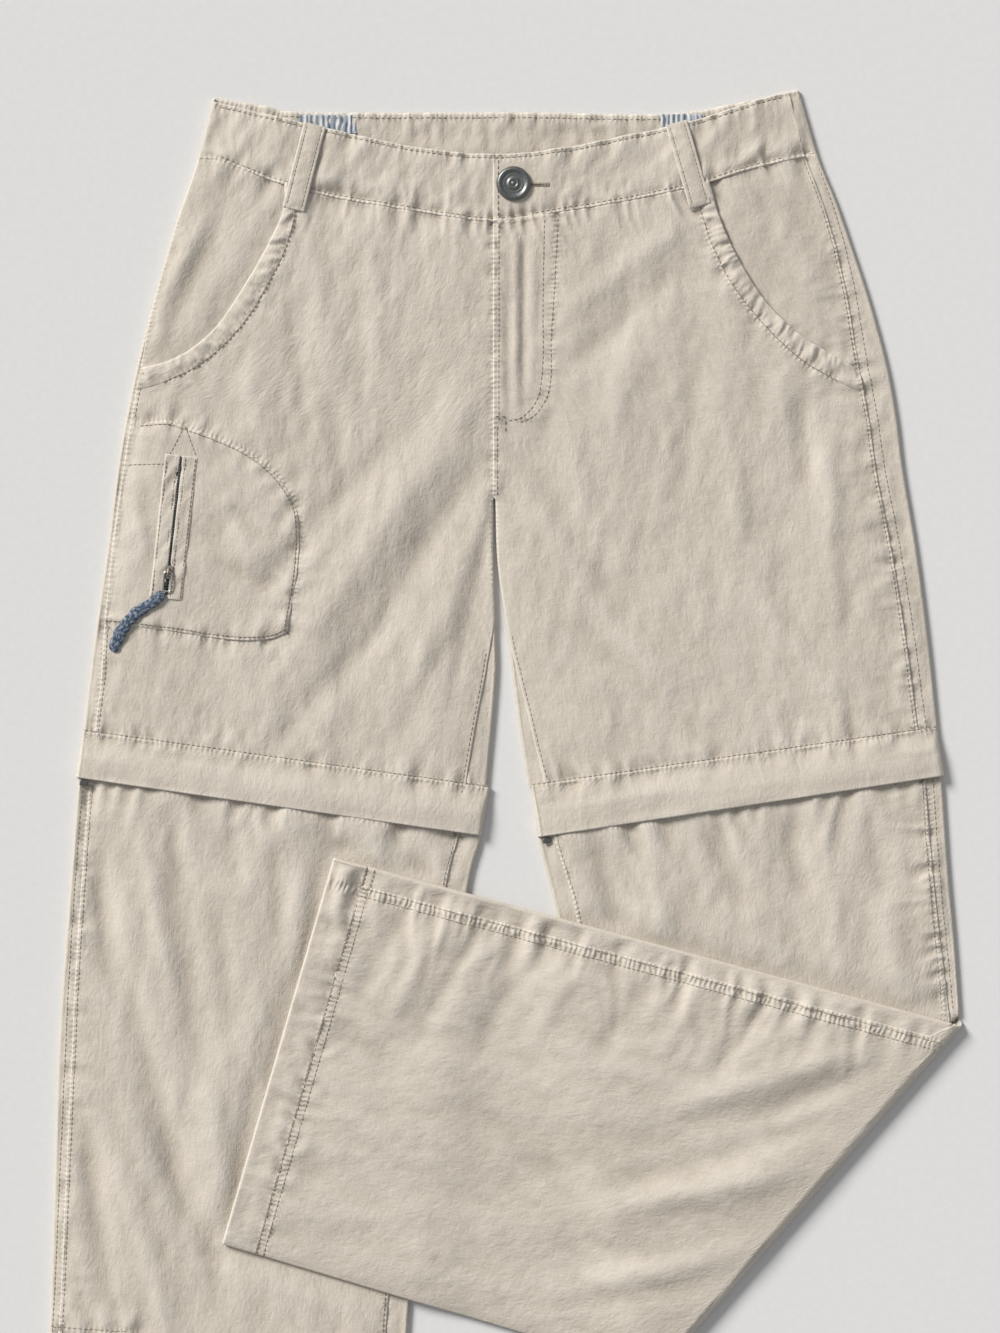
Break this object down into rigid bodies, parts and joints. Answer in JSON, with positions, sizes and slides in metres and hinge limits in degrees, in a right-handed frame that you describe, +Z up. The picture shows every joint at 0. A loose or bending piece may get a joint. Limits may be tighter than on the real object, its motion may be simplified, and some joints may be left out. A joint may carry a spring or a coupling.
{
  "type": "convertible zip-off trousers",
  "caption": "Light cotton trousers with zip-off lower legs, elasticated waistband, slanted hip pockets and a zipped thigh pocket, laid flat with one lower leg folded across.",
  "frame": {"origin": "centre of the laid garment's bounding box in plan, on the surface it lies on", "axes": "+X to the right as seen from above, +Y towards the waistband, +Z up from the surface"},
  "size_m": [0.5601, 0.996, 0.0126],
  "materials": {
    "cloth": "washed cotton poplin, matt",
    "hidden_cloth": "washed cotton poplin, matt",
    "band_inside": "washed cotton poplin, matt",
    "pocket_facing": "washed cotton poplin, matt",
    "elastic": "gathered woven elastic",
    "button_metal": "dark grey, satin",
    "zip_metal": "dark, satin",
    "zip_tape": "dark woven tape with teeth",
    "knee_zip_tape": "dark woven tape",
    "knee_slider": "dark, satin",
    "pull_wire": "dark nickel, satin",
    "pull_webbing": "blue woven cord"
  },
  "bodies": {
    "garment": {"belt_loop_left": "cloth", "belt_loop_right": "cloth", "cargo_pocket": "cloth", "elastic_left": "elastic", "elastic_right": "elastic", "fly_facing": "cloth", "fold_layers_right": "hidden_cloth", "hem_left": "cloth", "hem_right": "cloth", "knee_flap_left": "cloth", "knee_flap_right": "cloth", "knee_slider_left": "knee_slider", "knee_slider_right": "knee_slider", "knee_zip_left": "knee_zip_tape", "knee_zip_right": "knee_zip_tape", "lower_back_left": "hidden_cloth", "lower_back_right": "cloth", "lower_front_left": "cloth", "lower_front_right": "cloth", "pocket_edge_left": "cloth", "pocket_edge_right": "cloth", "pocket_facing_left": "pocket_facing", "pocket_facing_right": "pocket_facing", "short_back_left": "hidden_cloth", "short_back_right": "hidden_cloth", "short_front_left": "cloth", "short_front_right": "cloth", "waist_button": "button_metal", "waistband_back": "band_inside", "waistband_front_left": "cloth", "waistband_front_right": "cloth", "zip_slider": "zip_metal", "zip_tape": "zip_tape", "zip_welt_left": "cloth", "zip_welt_right": "cloth"},
    "cargo_pull": {"pull_loop": "pull_wire", "pull_tab": "pull_webbing"}
  },
  "joints": [
    {"name": "pocket_pull_swing", "type": "hinge", "parent": "garment", "child": "cargo_pull", "pos_m": [-0.1962, 0.208, 0.01048], "axis": [-0.994, 0.1098, 0], "range_deg": [0, 150]}
  ]
}
